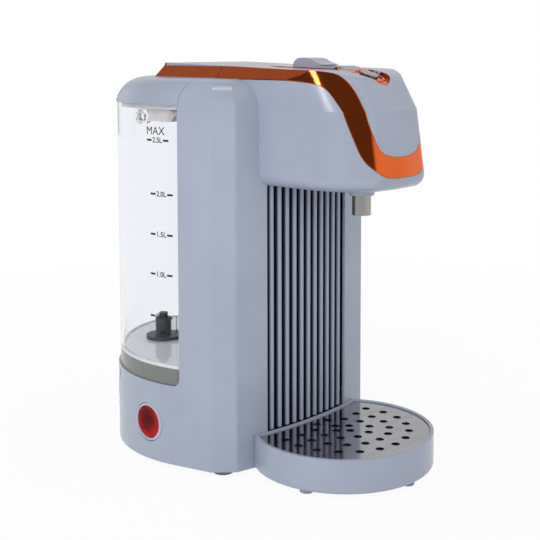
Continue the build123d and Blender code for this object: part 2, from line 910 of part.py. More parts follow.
def lid_trim():
    ring = (head - head_inner) & lid_deck_trim_zone() & behind(split_y + tank_gap / 2)
    return ring - tower_outer_full


def lid_gasket():
    inset = tank_wall + fit_gap * 2
    low = lid_low - gasket_height
    ring = tank_outline(inset, low, lid_low)
    return ring - tank_outline(inset + gasket_width, low - overcut, lid_low + overcut)


def rear_panel():
    shell = prism(0, foot_height, platform_top - wall - seam_gap) - prism(wall, 0, far)
    panel = shell & behind_panel_seam(seam_gap)
    return panel - bar_y(gland_x, tower_rear - wall - overcut, tower_rear + overcut, gland_z, gland_r)


def cord_gland():
    gland = bar_y(gland_x, tower_rear - gland_depth, tower_rear, gland_z, gland_r)
    inner = tower_rear - wall
    flange = bar_y(gland_x, inner - gland_flange, inner, gland_z, gland_flange_r)
    gland += flange & upright(wall, 0, platform_top)
    return gland - bar_y(gland_x, 0, tower_rear + overcut, gland_z, gland_bore)


def base_plate():
    plate = prism(wall + seam_gap, foot_height, base_floor)
    for x, y in base_boss_places():
        plate -= post(x, y, 0, far, screw_r)
        plate -= post(x, y, 0, foot_height + screw_head_h, screw_head_r)
    return plate


def base_screws():
    screws = []
    for x, y in base_boss_places():
        head_top = foot_height + screw_head_h
        screw = post(x, y, foot_height, head_top, screw_head_r)
        screws.append(screw + post(x, y, head_top, base_floor + screw_length, screw_r))
    return Compound(screws)


def rubber_foot(x, y, r):
    foot = post(x, y, 0, foot_height, r)
    return fillet(foot.edges().group_by(Axis.Z)[0], foot_round)


def rubber_feet():
    places = [(s * x, y) for s in (-1, 1) for x, y in foot_places]
    return Compound([rubber_foot(x, y, foot_r) for x, y in places])


def power_bezel():
    face = -half
    bezel = bar_x(face, face + bezel_depth, power_y, power_z, bezel_r)
    bezel = fillet(bezel.edges().group_by(Axis.X)[0], bezel_round)
    return bezel - bar_x(face - overcut, face + bezel_depth + overcut, power_y, power_z, lens_r + fit_gap)


def power_button():
    face = -half + lens_recess
    lens = bar_x(face, face + lens_thick, power_y, power_z, lens_r)
    lens = fillet(lens.edges().group_by(Axis.X)[0], lens_dome)
    back = face + lens_thick
    return lens + bar_x(back, back + power_stem, power_y, power_z, power_stem_r)


def power_switch_body():
    front = -half + bezel_depth + fit_gap
    back = front + power_body_length
    lens_back = -half + lens_recess + lens_thick + power_travel + fit_gap
    body = bar_x(front, back, power_y, power_z, power_body_r)
    body += bar_x(front, front + wall, power_y, power_z, bezel_r + bezel_groove + wall)
    body -= bar_x(front - overcut, lens_back, power_y, power_z, lens_r + fit_gap)
    stem_end = lens_back + power_stem + fit_gap
    return body - bar_x(front - overcut, stem_end, power_y, power_z, power_stem_r + fit_gap)


def tray_volume(inset, z0, z1):
    """Round tray cut to follow the tower's front."""
    disc = post(0, tray_y, z0, z1, tray_r - inset)
    return disc - post(0, front_axis_y, z0 - overcut, z1 + overcut, front_r + tray_gap + inset)


def drip_tray():
    low = foot_height
    tray = tray_volume(0, low, tray_top)
    tray = fillet(tray.faces().sort_by(Axis.Z)[0].edges(), tray_edge_r)
    tray -= tray_volume(tray_wall, ledge_top, tray_top + overcut)
    tray -= tray_volume(tray_wall + tray_ledge, ledge_top - tray_ledge_thick, tray_top + overcut)
    tray -= tray_volume(tray_wall, low + tray_floor, ledge_top - tray_ledge_thick)
    tongue_back = front_y + tongue_reach
    tongue = block(-tongue_half, tongue_half, front_y - tray_wall, tongue_back, tongue_low, tongue_high)
    return tray + tongue


def tray_feet():
    feet = []
    for angle in tray_foot_angles:
        turn = angle * pi / 180
        x, y = tray_foot_ring * cos(turn), tray_y + tray_foot_ring * sin(turn)
        feet.append(rubber_foot(x, y, tray_foot_r))
    return Compound(feet)


def drip_grate():
    """Perforated plate with rings of round holes."""
    inset = tray_wall + grate_gap
    low = ledge_top + fit_gap
    grate = tray_volume(inset, low, low + grate_thick)
    keep = front_axis_y - front_r - tray_gap - inset - hole_margin
    for ring_r, count in hole_rings:
        for index in range(count):
            turn = 2 * pi * index / count
            x, y = ring_r * cos(turn), tray_y + ring_r * sin(turn)
            if y < keep:
                grate -= post(x, y, low - overcut, low + grate_thick + overcut, hole_r)
    return grate


def heater_body():
    """Flow heater: finned-cap cylinder with a barb at each end."""
    heater = post(heater_x, heater_y, heater_low, heater_high, heater_r)
    for z0, z1 in ((heater_low - heater_cap, heater_low), (heater_high, heater_high + heater_cap)):
        heater += post(heater_x, heater_y, z0, z1, heater_cap_r)
    heater += post(heater_x, heater_y, heater_high + heater_cap, heater_high + heater_barb, barb_r)
    return heater + post(heater_x, heater_y, heater_low - heater_barb, heater_low - heater_cap, barb_r)


def heater_bracket():
    back = split_y - wall
    z0, z1 = heater_low + bracket_up[0], heater_low + bracket_up[1]
    saddle = block(heater_x - bracket_half_width, heater_x + bracket_half_width, heater_y, back, z0, z1)
    return saddle - post(heater_x, heater_y, 0, far, heater_r) - block(
        heater_x - heater_r, heater_x + heater_r, -far, heater_y + heater_r / 2, 0, far
    )


def thermostat():
    side = heater_x + heater_r
    z = heater_low + thermostat_up
    puck = bar_x(side - thermostat_seat, side + thermostat_h, heater_y, z, thermostat_r)
    return puck - post(heater_x, heater_y, 0, far, heater_r)


def thermal_fuse():
    x = heater_x - heater_r - fuse_r
    z = heater_low + bracket_up[1] + fuse_above_bracket
    return post(x, heater_y, z, z + fuse_length, fuse_r)


def control_board():
    """Circuit board with relay, capacitor and heat sink."""
    back = split_y - wall - board_stand
    front = back - board_thick
    board = block(*board_x, front, back, *board_z)
    for place, size in ((relay_place, relay_size), (sink_place, sink_size)):
        x, z = board_x[0] + place[0], board_z[0] + place[1]
        board += block(x, x + size[0], front - size[1], front, z, z + size[2])
    x, z = board_x[0] + capacitor_place[0], board_z[0] + capacitor_place[1]
    return board + bar_y(x, front - capacitor_h, front, z, capacitor_r)


def pump():
    """Diaphragm pump: round motor, square head and two barbs."""
    x0, x1 = pump_head_x
    body = bar_x(x1, x1 + pump_length, pump_y, pump_z, pump_r)
    y0, y1 = pump_y - pump_head_half, pump_y + pump_head_half
    body += block(x0, x1, y0, y1, pump_z - pump_head_half, pump_z + pump_head_half)
    body += bar_x(x0 - pump_barb, x0, pump_y, pump_z, barb_r)
    return body + bar_y(pump_out_x, y0 - pump_barb, y0, pump_out_z, barb_r)


def pump_mount():
    saddle = block(*mount_x, pump_y - mount_half, pump_y + mount_half, base_floor, pump_z)
    return saddle - bar_x(0, far, pump_y, pump_z, pump_r)


def inlet_hose():
    end = pump_head_x[0] - pump_barb + hose_lap
    points = [(valve_x, valve_y, barb_low + hose_lap), (valve_x, valve_y, pump_z), (end, pump_y, pump_z)]
    return tube(points, hose_r, barb_r, hose_bend / 2)


def feed_hose():
    start = pump_y - pump_head_half - pump_barb + hose_lap
    end = heater_low - heater_barb + hose_lap
    points = [
        (pump_out_x, start, pump_out_z),
        (heater_x, heater_y, pump_out_z),
        (heater_x, heater_y, end),
    ]
    return tube(points, hose_r, barb_r, hose_bend)


def outlet_hose():
    start = heater_high + heater_barb - hose_lap
    points = [
        (heater_x, heater_y, start),
        (heater_x, heater_y, head_bottom + outlet_run_up),
        (0, spout_y, head_bottom + outlet_run_up),
        (0, spout_y, spout_high),
    ]
    return tube(points, hose_r, barb_r, hose_bend)


nodes = {
    "tower_shell": tower_shell,
    "ribbed_panel": ribbed_panel,
    "head_shell": head_shell,
    "front_fascia": front_fascia,
    "front_trim": front_trim,
    "control_plate": control_plate,
    "dispense_lever": dispense_lever,
    "lever_pin": lever_pin,
    "lever_bracket": lever_bracket,
    "lever_microswitch": lever_microswitch,
    "lever_spring": lever_spring,
    "volume_dial": volume_dial,
    "dial_encoder": dial_encoder,
    "spout_tube": spout_tube,
    "spout_collar": spout_collar,
    "water_tank": water_tank,
    "tank_base_ring": tank_base_ring,
    "valve_housing": valve_housing,
    "valve_plunger": valve_plunger,
    "valve_spring": valve_spring,
    "tank_spigot": tank_spigot,
    "spigot_seal": spigot_seal,
    "carry_handle": carry_handle,
    "tank_lid": tank_lid,
    "lid_trim": lid_trim,
    "lid_gasket": lid_gasket,
    "rear_panel": rear_panel,
    "cord_gland": cord_gland,
    "base_plate": base_plate,
    "base_screws": base_screws,
    "rubber_feet": rubber_feet,
    "power_bezel": power_bezel,
    "power_button": power_button,
    "power_switch_body": power_switch_body,
    "drip_tray": drip_tray,
    "tray_feet": tray_feet,
    "drip_grate": drip_grate,
    "heater_body": heater_body,
    "heater_bracket": heater_bracket,
    "thermostat": thermostat,
    "thermal_fuse": thermal_fuse,
    "control_board": control_board,
    "pump": pump,
    "pump_mount": pump_mount,
    "inlet_hose": inlet_hose,
    "feed_hose": feed_hose,
    "outlet_hose": outlet_hose,
}

os.makedirs("parts", exist_ok=True)
for name, make in nodes.items():
    export_step(Pos(0, -origin_y, 0) * make(), f"parts/{name}.step")
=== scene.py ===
import json
import math
import bpy
import bmesh
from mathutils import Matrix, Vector


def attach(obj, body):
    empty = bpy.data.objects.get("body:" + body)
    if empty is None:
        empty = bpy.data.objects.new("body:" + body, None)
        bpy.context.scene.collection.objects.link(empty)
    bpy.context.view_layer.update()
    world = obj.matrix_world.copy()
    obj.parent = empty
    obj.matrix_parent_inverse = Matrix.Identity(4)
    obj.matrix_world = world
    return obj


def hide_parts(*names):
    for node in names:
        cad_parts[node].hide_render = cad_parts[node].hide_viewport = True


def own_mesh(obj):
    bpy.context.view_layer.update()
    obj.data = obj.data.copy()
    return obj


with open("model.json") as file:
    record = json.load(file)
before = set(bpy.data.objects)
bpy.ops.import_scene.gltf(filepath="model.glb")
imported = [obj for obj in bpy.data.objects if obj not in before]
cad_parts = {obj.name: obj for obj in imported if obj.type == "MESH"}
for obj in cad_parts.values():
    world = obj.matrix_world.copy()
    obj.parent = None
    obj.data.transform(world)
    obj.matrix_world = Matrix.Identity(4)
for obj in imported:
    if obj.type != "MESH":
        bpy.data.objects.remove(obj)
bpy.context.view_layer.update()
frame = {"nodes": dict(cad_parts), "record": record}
nodes = frame["nodes"]
slotOf = {s["node"]: s["material_slot"] for s in frame["record"]["subparts"]}
mm = 0.001
print("frame loaded:", len(nodes), "nodes")


def hexColour(code):
    # sRGB hex to the linear values that shaders want
    out = []
    for i in (0, 2, 4):
        c = int(code[i:i + 2], 16) / 255
        out.append(c / 12.92 if c <= 0.04045 else ((c + 0.055) / 1.055) ** 2.4)
    return (*out, 1.0)


def addNode(mat, kind, links=(), **settings):
    # one shader node; settings starting with "in_" go to its input sockets by name or number
    node = mat.node_tree.nodes.new(kind)
    for key, value in settings.items():
        if key.startswith("in_"):
            socket = key[3:].replace("_", " ")
            node.inputs[int(socket) if socket.isdigit() else socket].default_value = value
        else:
            setattr(node, key, value)
    for source, outName, inName in links:
        mat.node_tree.links.new(source.outputs[outName], node.inputs[inName])
    return node


def newFinish(name):
    mat = bpy.data.materials.new(name)
    mat.use_nodes = True
    shader = mat.node_tree.nodes["Principled BSDF"]
    coords = addNode(mat, "ShaderNodeTexCoord")
    return mat, shader, coords


def wire(mat, source, outName, target, inName):
    mat.node_tree.links.new(source.outputs[outName], target.inputs[inName])


def grainScale(sizeMm):
    # noise features come out about one size across at this scale
    return 1.0 / (sizeMm * mm)


def tintRamp(mat, source, outName, stops):
    ramp = addNode(mat, "ShaderNodeValToRGB", [(source, outName, "Fac")])
    while len(ramp.color_ramp.elements) < len(stops):
        ramp.color_ramp.elements.new(0.5)
    for element, (place, colour) in zip(ramp.color_ramp.elements, stops):
        element.position = place
        element.color = hexColour(colour)
    return ramp


def colourGrain(mat, shader, grain, stops):
    tint = tintRamp(mat, grain, "Fac", stops)
    wire(mat, tint, "Color", shader, "Base Color")


def glossGrain(mat, shader, grain, rough):
    gloss = addNode(mat, "ShaderNodeMapRange", [(grain, "Fac", "Value")],
                    in_To_Min=rough[0], in_To_Max=rough[1])
    wire(mat, gloss, "Result", shader, "Roughness")


def reliefGrain(mat, shader, grain, strength, depthMm):
    bump = addNode(mat, "ShaderNodeBump", [(grain, "Fac", "Height")],
                   in_Strength=strength, in_Distance=depthMm * mm)
    wire(mat, bump, "Normal", shader, "Normal")


# Glossy ABS, injection moulded: an even lavender grey with a faint moulding ripple in its reflections
moulding = dict(detail=2.0, darkTo=0.35, lightFrom=0.65, rippleDetail=1.0, rippleDepth=0.3, ior=1.54)
absGrey = dict(light="A7AFC1", dark="A1A9BB", rough=(0.20, 0.27), blotchMm=60, rippleMm=9, ripple=0.015)
# Bezel ABS: the same moulding, paler and a little duller
absPale = dict(light="B9BECC", dark="AEB4C3", rough=(0.25, 0.33), blotchMm=20, rippleMm=5, ripple=0.02)


def mouldedAbs(name, light, dark, rough, blotchMm, rippleMm, ripple):
    s = moulding
    mat, shader, coords = newFinish(name)
    blotch = addNode(mat, "ShaderNodeTexNoise", [(coords, "Object", "Vector")],
                     in_Scale=grainScale(blotchMm), in_Detail=s["detail"])
    colourGrain(mat, shader, blotch, [(s["darkTo"], dark), (s["lightFrom"], light)])
    glossGrain(mat, shader, blotch, rough)
    wave = addNode(mat, "ShaderNodeTexNoise", [(coords, "Object", "Vector")],
                   in_Scale=grainScale(rippleMm), in_Detail=s["rippleDetail"])
    reliefGrain(mat, shader, wave, ripple, s["rippleDepth"])
    shader.inputs["IOR"].default_value = s["ior"]
    return mat


greyAbs = mouldedAbs("greyGlossAbs", **absGrey)
bezelAbs = mouldedAbs("paleBezelAbs", **absPale)

# Ribbed ABS panel: same moulding, with painted shade that darkens the grooves between the ribs
ribbedAbsGrooveShade = dict(stops=[(0.1, "12151F"), (0.5, "3E4458"), (0.95, "A4ABBF")], axisY=267.9, floorR=300.6,
                 grooveEdge=0.2, ribHigh=3.7, grainMm=60, rough=(0.28, 0.34), ior=1.54, specular=0.35)


def ribbedFinishGrooveShade():
    s = ribbedAbsGrooveShade
    mat, shader, coords = newFinish("ribbedGreyAbsPaintedGrooveShade")
    place = addNode(mat, "ShaderNodeVectorMath", [(coords, "Object", 0)], operation="SUBTRACT",
                    in_1=(0, s["axisY"] * mm, 0))
    flat = addNode(mat, "ShaderNodeVectorMath", [(place, "Vector", 0)], operation="MULTIPLY",
                   in_1=(1, 1, 0))
    reach = addNode(mat, "ShaderNodeVectorMath", [(flat, "Vector", 0)], operation="LENGTH")
    low, high = s["floorR"] + s["grooveEdge"], s["floorR"] + s["ribHigh"]
    # painted shade: the colour darkens from the rib tops down into the grooves
    grooveShade = addNode(mat, "ShaderNodeMapRange", [(reach, "Value", "Value")],
                    in_From_Min=low * mm, in_From_Max=high * mm)
    tint = tintRamp(mat, grooveShade, "Result", s["stops"])
    wire(mat, tint, "Color", shader, "Base Color")
    grain = addNode(mat, "ShaderNodeTexNoise", [(coords, "Object", "Vector")],
                    in_Scale=grainScale(s["grainMm"]))
    glossGrain(mat, shader, grain, s["rough"])
    shader.inputs["IOR"].default_value = s["ior"]
    shader.inputs["Specular IOR Level"].default_value = s["specular"]
    return mat


# Metals: plated, turned, polished or cast, each with the marks its making leaves
metalGrain = dict(detail=3.0, darkTo=0.3, lightFrom=0.7, strength=0.15)


def metalFinish(name, light, dark, rough, grainMm, bumpMm, stretch=(1, 1, 1)):
    s = metalGrain
    mat, shader, coords = newFinish(name)
    place = addNode(mat, "ShaderNodeMapping", [(coords, "Object", "Vector")], in_Scale=stretch)
    grain = addNode(mat, "ShaderNodeTexNoise", [(place, "Vector", "Vector")],
                    in_Scale=grainScale(grainMm), in_Detail=s["detail"])
    colourGrain(mat, shader, grain, [(s["darkTo"], dark), (s["lightFrom"], light)])
    glossGrain(mat, shader, grain, rough)
    reliefGrain(mat, shader, grain, s["strength"], bumpMm)
    shader.inputs["Metallic"].default_value = 1.0
    return mat


def lacquer(mat, coat, edgeMm):
    # clear coat over the plate; plated edges are never sharp, so the normal turns across them
    mat.node_tree.nodes["Principled BSDF"].inputs["Coat Weight"].default_value = coat
    soft = addNode(mat, "ShaderNodeBevel", in_Radius=edgeMm * mm)
    wire(mat, soft, "Normal", mat.node_tree.nodes["Bump"], "Normal")


# Copper vacuum plate on ABS under an orange lacquer: mirror bright, deep brown where it mirrors shade
copperPlate = metalFinish("copperPlatedAbs", "DB6222", "D55C1E", rough=(0.06, 0.10), grainMm=25, bumpMm=0.02)
lacquer(copperPlate, coat=0.25, edgeMm=0.9)
# Stainless tube, turned and satin: rings round its length, drawn coarser than real ones so that they show
satinSteel = metalFinish("satinStainless", "AFADAA", "8E8C8A", rough=(0.20, 0.30), grainMm=1.2, bumpMm=0.01,
                         stretch=(1, 1, 12))
# Stainless sheet, polished: near mirror with faint rolling streaks
polishedSteel = metalFinish("polishedStainless", "B2B2B5", "A2A2A6", rough=(0.09, 0.15), grainMm=6,
                            bumpMm=0.01, stretch=(0.15, 1, 1))
# Turned aluminium dial: silver with a fine cut grain
turnedAluminium = metalFinish("turnedAluminium", "C8C8CA", "8E8E94", rough=(0.22, 0.34), grainMm=1.5,
                              bumpMm=0.02)
# Cast heater alloy: plain and dull
castAlloy = metalFinish("castAlloy", "A5A6A8", "8C8D90", rough=(0.35, 0.5), grainMm=2.5, bumpMm=0.05)


# Moulded plastics and rubbers that don't shine: spark texture from the mould, drawn coarse enough to show
mattGrain = dict(detail=4.0, darkTo=0.3, lightFrom=0.7, roughSpread=0.06, strength=0.2, depthMm=0.05)


def mattFinish(name, light, dark, rough, grainMm, ior):
    s = mattGrain
    mat, shader, coords = newFinish(name)
    grain = addNode(mat, "ShaderNodeTexNoise", [(coords, "Object", "Vector")],
                    in_Scale=grainScale(grainMm), in_Detail=s["detail"])
    colourGrain(mat, shader, grain, [(s["darkTo"], dark), (s["lightFrom"], light)])
    glossGrain(mat, shader, grain, (rough - s["roughSpread"], rough + s["roughSpread"]))
    reliefGrain(mat, shader, grain, s["strength"], s["depthMm"])
    shader.inputs["IOR"].default_value = ior
    return mat


# Polypropylene base plate: mid grey and dull
greyMatt = mattFinish("greyMattPolypropylene", "7C8292", "6F7585", rough=0.55, grainMm=1.0, ior=1.49)
# Rubber of seals and gland: near black, without shine
blackRubber = mattFinish("blackRubber", "232326", "17171A", rough=0.75, grainMm=0.8, ior=1.52)
# Grey rubber of the feet: a darker shade of the body's colour, quite matt
greyRubber = mattFinish("greyRubber", "6A6F7D", "5E6371", rough=0.7, grainMm=0.8, ior=1.5)
# Paler rubber of the tray's small feet: almost lost against the tray
paleRubber = mattFinish("paleGreyRubber", "969DAE", "8B92A3", rough=0.65, grainMm=0.8, ior=1.5)
# Silicone of hoses and gasket: milky white
siliconeWhite = mattFinish("milkySilicone", "DADCDD", "C9CCCE", rough=0.45, grainMm=2.0, ior=1.41)
# Nylon of the inner mouldings: off-white, or black
whiteNylon = mattFinish("naturalNylon", "DEDCD2", "D0CEC4", rough=0.5, grainMm=1.2, ior=1.53)
blackNylon = mattFinish("blackNylon", "26272A", "1B1C1F", rough=0.5, grainMm=1.0, ior=1.53)
# Solder resist of the board: deep green
boardGreen = mattFinish("boardResist", "1F6B3C", "17552F", rough=0.35, grainMm=1.5, ior=1.5)
# Screen printing ink of the litre marks: flat black
printInk = mattFinish("blackPrintInk", "1A1B1F", "121317", rough=0.6, grainMm=0.5, ior=1.5)
# Shade inside a joint: a dark line, without shine
seamDark = mattFinish("jointShadow", "4A4F5E", "40454F", rough=0.8, grainMm=2.0, ior=1.4)


# Clear and tinted plastics: light passes, and their shadows stay thin; the IOR is matched below SAN's 1.57,
# so that the walls bend the view as little as they seem to
clearWall = dict(detail=1.0, strength=0.03, depthMm=0.2, shadowShare=0.92)


def clearPlastic(name, colour, rough, ior, waveMm, passes):
    s = clearWall
    mat, shader, coords = newFinish(name)
    wave = addNode(mat, "ShaderNodeTexNoise", [(coords, "Object", "Vector")],
                   in_Scale=grainScale(waveMm), in_Detail=s["detail"])
    reliefGrain(mat, shader, wave, s["strength"], s["depthMm"])
    shader.inputs["Base Color"].default_value = hexColour(colour)
    shader.inputs["Roughness"].default_value = rough
    shader.inputs["Transmission Weight"].default_value = passes
    shader.inputs["IOR"].default_value = ior
    rays = addNode(mat, "ShaderNodeLightPath")
    lit = addNode(mat, "ShaderNodeMath", [(rays, "Is Shadow Ray", 0), (rays, "Is Diffuse Ray", 1)],
                  operation="MAXIMUM")
    part = addNode(mat, "ShaderNodeMath", [(lit, "Value", 0)], operation="MULTIPLY",
                   in_1=passes * s["shadowShare"])
    through = addNode(mat, "ShaderNodeBsdfTransparent")
    both = addNode(mat, "ShaderNodeMixShader",
                   [(part, "Value", 0), (shader, "BSDF", 1), (through, "BSDF", 2)])
    wire(mat, both, "Shader", mat.node_tree.nodes["Material Output"], "Surface")
    return mat


# Clear SAN of the tank: nearly colourless walls, and a floor that lets little light through so that its pale
# colour shows white: painted light on the tank's floor
clearSan = clearPlastic("clearSanTank", "F6F8FB", rough=0.02, ior=1.20, waveMm=30, passes=1.0)
tankFloorPaintedLight = dict(top=78.3, edge=0.15, clear=0.3)


def paintTankFloorLight(mat):
    s = tankFloorPaintedLight
    shader = mat.node_tree.nodes["Principled BSDF"]
    coords = addNode(mat, "ShaderNodeTexCoord")
    parts = addNode(mat, "ShaderNodeSeparateXYZ", [(coords, "Object", "Vector")])
    low, high = s["top"] - s["edge"], s["top"] + s["edge"]
    # painted light: below the floor's top most light is stopped, so the pale base colour shows white
    passes = addNode(mat, "ShaderNodeMapRange", [(parts, "Z", "Value")],
                     in_From_Min=low * mm, in_From_Max=high * mm, in_To_Min=s["clear"])
    wire(mat, passes, "Result", shader, "Transmission Weight")


paintTankFloorLight(clearSan)
# Frosted SAN of the carry handle: milky, so that it shows inside the tank
frostedSan = clearPlastic("frostedSanHandle", "E6E2E0", rough=0.35, ior=1.30, waveMm=10, passes=0.45)
# Smoky SAN of the base ring: grey-olive, only partly clear
smokySan = clearPlastic("smokySanBase", "868B87", rough=0.12, ior=1.45, waveMm=20, passes=0.25)


# Red lens of tinted polycarbonate: deep red in the middle, with a painted glow that brightens it towards its
# rim
redLensRimGlow = dict(stops=[(0.0, "3C0507"), (0.45, "6C0A0D"), (0.8, "A61115"), (1.0, "BC1A1D")],
               centre=(43.0, 33.0), radius=14.0, cloudMm=7, cloudShift=4, rough=0.12, ior=1.58, specular=0.06)


def redFinishRimGlow():
    s = redLensRimGlow
    mat, shader, coords = newFinish("redPolycarbonatePaintedGlow")
    y, z = s["centre"]
    place = addNode(mat, "ShaderNodeVectorMath", [(coords, "Object", 0)], operation="SUBTRACT",
                    in_1=(0, y * mm, z * mm))
    flat = addNode(mat, "ShaderNodeVectorMath", [(place, "Vector", 0)], operation="MULTIPLY",
                   in_1=(0, 1, 1))
    reach = addNode(mat, "ShaderNodeVectorMath", [(flat, "Vector", 0)], operation="LENGTH")
    cloud = addNode(mat, "ShaderNodeTexNoise", [(coords, "Object", "Vector")],
                    in_Scale=grainScale(s["cloudMm"]))
    spread = addNode(mat, "ShaderNodeMapRange", [(cloud, "Fac", "Value")],
                     in_To_Min=-s["cloudShift"] * mm, in_To_Max=s["cloudShift"] * mm)
    total = addNode(mat, "ShaderNodeMath", [(reach, "Value", 0), (spread, "Result", 1)], operation="ADD")
    # painted glow: the further from the lens's centre, the brighter the red
    share = addNode(mat, "ShaderNodeMapRange", [(total, "Value", "Value")], in_From_Max=s["radius"] * mm)
    tint = tintRamp(mat, share, "Result", s["stops"])
    wire(mat, tint, "Color", shader, "Base Color")
    shader.inputs["Roughness"].default_value = s["rough"]
    shader.inputs["IOR"].default_value = s["ior"]
    shader.inputs["Specular IOR Level"].default_value = s["specular"]
    return mat


finishes = {
    "grey_gloss": greyAbs, "copper": copperPlate, "steel": satinSteel, "dial_silver": turnedAluminium,
    "clear_tank": clearSan, "smoky_clear": smokySan, "grey_matte": greyMatt, "rubber_black": blackRubber,
    "silicone": siliconeWhite, "white_inner": whiteNylon, "black_inner": blackNylon,
    "bezel_silver": bezelAbs, "red_lens": redFinishRimGlow(), "board_green": boardGreen,
}
ownFinish = {
    "ribbed_panel": ribbedFinishGrooveShade(), "drip_grate": polishedSteel, "heater_body": castAlloy,
    "carry_handle": frostedSan, "rubber_feet": greyRubber, "tray_feet": paleRubber,
}


def paint(obj, mat):
    obj.data.materials.clear()
    obj.data.materials.append(mat)


for name, obj in nodes.items():
    paint(obj, ownFinish.get(name, finishes[slotOf[name]]))
print("finishes set")


def finishPiece(obj, mat, body):
    paint(obj, mat)
    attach(obj, body)
    return obj


def meshPiece(name, bm):
    mesh = bpy.data.meshes.new(name)
    bm.to_mesh(mesh)
    bm.free()
    obj = bpy.data.objects.new(name, mesh)
    bpy.context.collection.objects.link(obj)
    return obj


def addVert(bm, x, y, z):
    return bm.verts.new(Vector((x, y, z)) * mm)


def joinRings(bm, rings, closed=False):
    # skins a row of equal rings, with end caps unless the row runs round into itself
    following = rings[1:] + rings[:1] if closed else rings[1:]
    for near, after in zip(rings, following):
        for i in range(len(near)):
            j = (i + 1) % len(near)
            bm.faces.new((near[i], near[j], after[j], after[i]))
    if not closed:
        bm.faces.new(rings[0])
        bm.faces.new(rings[-1][::-1])
    bmesh.ops.recalc_face_normals(bm, faces=bm.faces)


# Printed litre marks on the tank's round wall: places are arc lengths towards the rear and heights
tankMarks = dict(wallR=95.4, axisY=41.5, proud=0.08, textLift=0.6, dashLift=0.7, sizePerCap=1.38,
                 topMm=6.2, markMm=4.0, dashFrom=5.6, dashTo=10.6, dashHigh=1.5, bold=0.09,
                 top=("MAX", -9.4, 253.0),
                 marks=[("2.5L", -11.4, 246.3), ("2.0L", -14.8, 206.3), ("1.5L", -14.4, 176.1),
                        ("1.0L", -13.9, 146.0), ("0.5L", -13.4, 114.1)])


def onWall(along, up, out):
    # a point of the flat print wrapped round the tank's wall
    r = tankMarks["wallR"] + out
    turn = along / tankMarks["wallR"]
    return Vector((-r * math.cos(turn), tankMarks["axisY"] + r * math.sin(turn), up)) * mm


def wallText(words, high, bold, along, z):
    s = tankMarks
    curve = bpy.data.curves.new("printOutline", "FONT")
    curve.body = words
    curve.size = high * s["sizePerCap"]
    curve.align_x = "CENTER"
    curve.align_y = "CENTER"
    curve.extrude = s["proud"] / 2
    curve.offset = bold
    source = bpy.data.objects.new("printOutline", curve)
    bpy.context.collection.objects.link(source)
    bpy.context.view_layer.update()
    mesh = bpy.data.meshes.new_from_object(source.evaluated_get(bpy.context.evaluated_depsgraph_get()))
    bpy.data.objects.remove(source)
    for v in mesh.vertices:
        x, y, out = v.co
        v.co = onWall(along - x, z + y, out + s["proud"] * s["textLift"])
    mark = bpy.data.objects.new("mark" + words.replace(".", "_"), mesh)
    bpy.context.collection.objects.link(mark)
    return mark


def makeMarks():
    s = tankMarks
    for words, along, z in s["marks"] + [s["top"]]:
        high, bold = (s["topMm"], 0) if words == s["top"][0] else (s["markMm"], s["bold"])
        finishPiece(wallText(words, high, bold, along, z), printInk, "tank")
    bm = bmesh.new()
    for words, along, z in s["marks"]:
        for side in (-1, 1):
            ends = [along + side * s["dashFrom"], along + side * s["dashTo"]]
            made = bmesh.ops.create_cube(bm, size=1.0)
            for v in made["verts"]:
                place = sum(ends) / 2 + v.co.x * (ends[1] - ends[0])
                v.co = onWall(place, z + v.co.y * s["dashHigh"], (v.co.z + s["dashLift"]) * s["proud"])
    bmesh.ops.recalc_face_normals(bm, faces=bm.faces)
    finishPiece(meshPiece("litreDashes", bm), printInk, "tank")


makeMarks()
print("tank marks printed")


# Plated lip that lines the dish of the control plate, from the plate's edge up to the fascia's cut-out
dishLip = dict(plateR=16.5, holeR=16.7, centreY=-91.5, reach=41.0, gap=0.04, sink=0.5, step=1.0,
               nearWall=0.06, leastHigh=0.1)


def rimHeights(name, radius):
    # height of a node's top edge against the arc length from the front tip of the stadium-shaped cut-out
    s = dishLip
    tops = {}
    for v in nodes[name].data.vertices:
        x, y, z = [c / mm for c in v.co]
        along = y - s["centreY"]
        ahead = min(along, 0)
        if abs(math.hypot(x, ahead) - radius) > s["nearWall"]:
            continue
        if ahead == 0:
            arc = math.copysign(radius * math.pi / 2 + along, x)
        else:
            arc = radius * math.atan2(x, -ahead)
        if abs(arc) < s["reach"]:
            place = round(arc / s["step"])
            tops[place] = max(tops.get(place, z), z)
    return tops


def between(tops, place):
    known = sorted(tops)
    below = max([k for k in known if k <= place], default=known[0])
    above = min([k for k in known if k >= place], default=known[-1])
    share = 0 if above == below else (place - below) / (above - below)
    return tops[below] * (1 - share) + tops[above] * share


def makeLip():
    s = dishLip
    fascia, plate = rimHeights("front_fascia", s["holeR"]), rimHeights("control_plate", s["plateR"])
    inner, outer = s["plateR"] + s["gap"], s["holeR"] - s["gap"]
    quarter = s["plateR"] * math.pi / 2
    count = int(s["reach"] / s["step"]) - 1
    bm = bmesh.new()
    rows = []
    for place in range(-count, count + 1):
        arc = place * s["step"]
        turn = max(-quarter, min(quarter, arc)) / s["plateR"]
        back = max(abs(arc) - quarter, 0)
        low = between(plate, place) - s["sink"]
        high = max(between(fascia, place), low + s["leastHigh"])
        rows.append([addVert(bm, r * math.sin(turn), s["centreY"] - r * math.cos(turn) + back, z)
                     for r, z in ((inner, low), (inner, high), (outer, high), (outer, low))])
    joinRings(bm, rows)
    finishPiece(meshPiece("dishLip", bm), copperPlate, "housing")


makeLip()

# Collar under the head that the spout comes out of: a slightly tapered grey ring, profile as (radius, height)
collar = dict(profile=[(7.15, 213.4), (10.2, 213.4), (10.2, 211.6), (9.5, 207.4), (8.9, 206.8),
                       (7.15, 206.8)], centreY=-87.2, steps=64)


